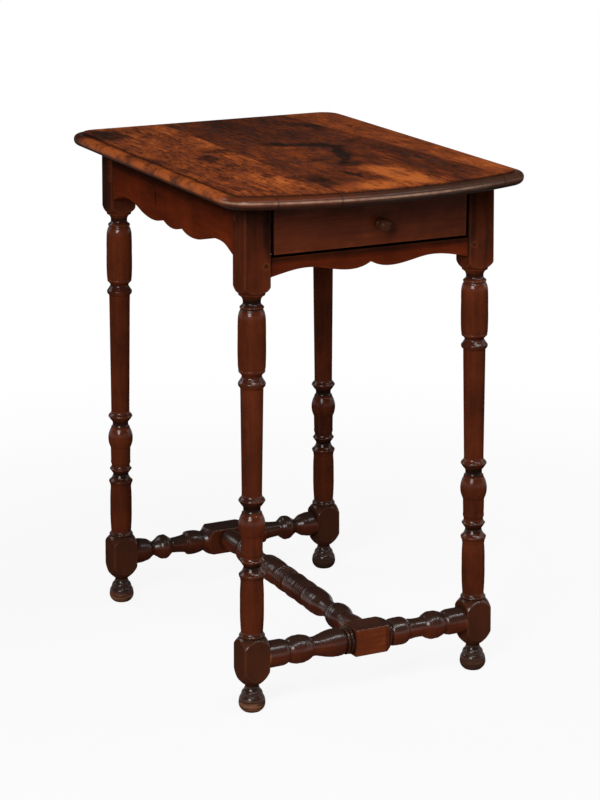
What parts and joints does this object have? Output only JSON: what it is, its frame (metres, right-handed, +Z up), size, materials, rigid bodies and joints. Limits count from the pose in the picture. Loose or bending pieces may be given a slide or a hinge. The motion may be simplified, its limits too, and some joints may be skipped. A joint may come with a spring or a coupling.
{
  "type": "side table",
  "caption": "Small occasional table with a moulded bow-fronted top, splayed turned legs, an H stretcher and a side-hung drawer in its short end.",
  "frame": {"origin": "on the floor under the middle of the top's outline", "axes": "+Z up, the drawer front faces -Y, +X to the right seen from the front"},
  "size_m": [0.427, 0.605, 0.696],
  "materials": {
    "top_wood": "waxed and worn",
    "leg_wood": "waxed",
    "apron_wood": "waxed",
    "stretcher_wood": "waxed and worn",
    "drawer_front_wood": "waxed",
    "inner_wood": "bare and dry",
    "knob_wood": "polished by hands",
    "peg_wood": "waxed"
  },
  "bodies": {
    "frame": {"top_edge_board": "top_wood", "top_strip_board": "top_wood", "top_middle_board": "top_wood", "top_right_board": "top_wood", "leg_front_left": "leg_wood", "leg_front_right": "leg_wood", "leg_back_left": "leg_wood", "leg_back_right": "leg_wood", "apron_left": "apron_wood", "apron_right": "apron_wood", "apron_back": "apron_wood", "rail_front": "apron_wood", "stretcher_front": "stretcher_wood", "stretcher_back": "stretcher_wood", "stretcher_center": "stretcher_wood", "drawer_bearer_left": "inner_wood", "drawer_bearer_right": "inner_wood", "drawer_stops": "inner_wood", "glue_blocks": "inner_wood", "apron_pegs": "peg_wood", "rail_pegs": "peg_wood", "stretcher_pegs": "peg_wood"},
    "drawer": {"drawer_front": "drawer_front_wood", "drawer_side_left": "inner_wood", "drawer_side_right": "inner_wood", "drawer_back": "inner_wood", "drawer_bottom": "inner_wood", "drawer_knob": "knob_wood"}
  },
  "joints": [
    {"name": "drawer_slide", "type": "slide", "parent": "frame", "child": "drawer", "axis": [0, -1, 0], "range_m": [0, 0.3]}
  ]
}
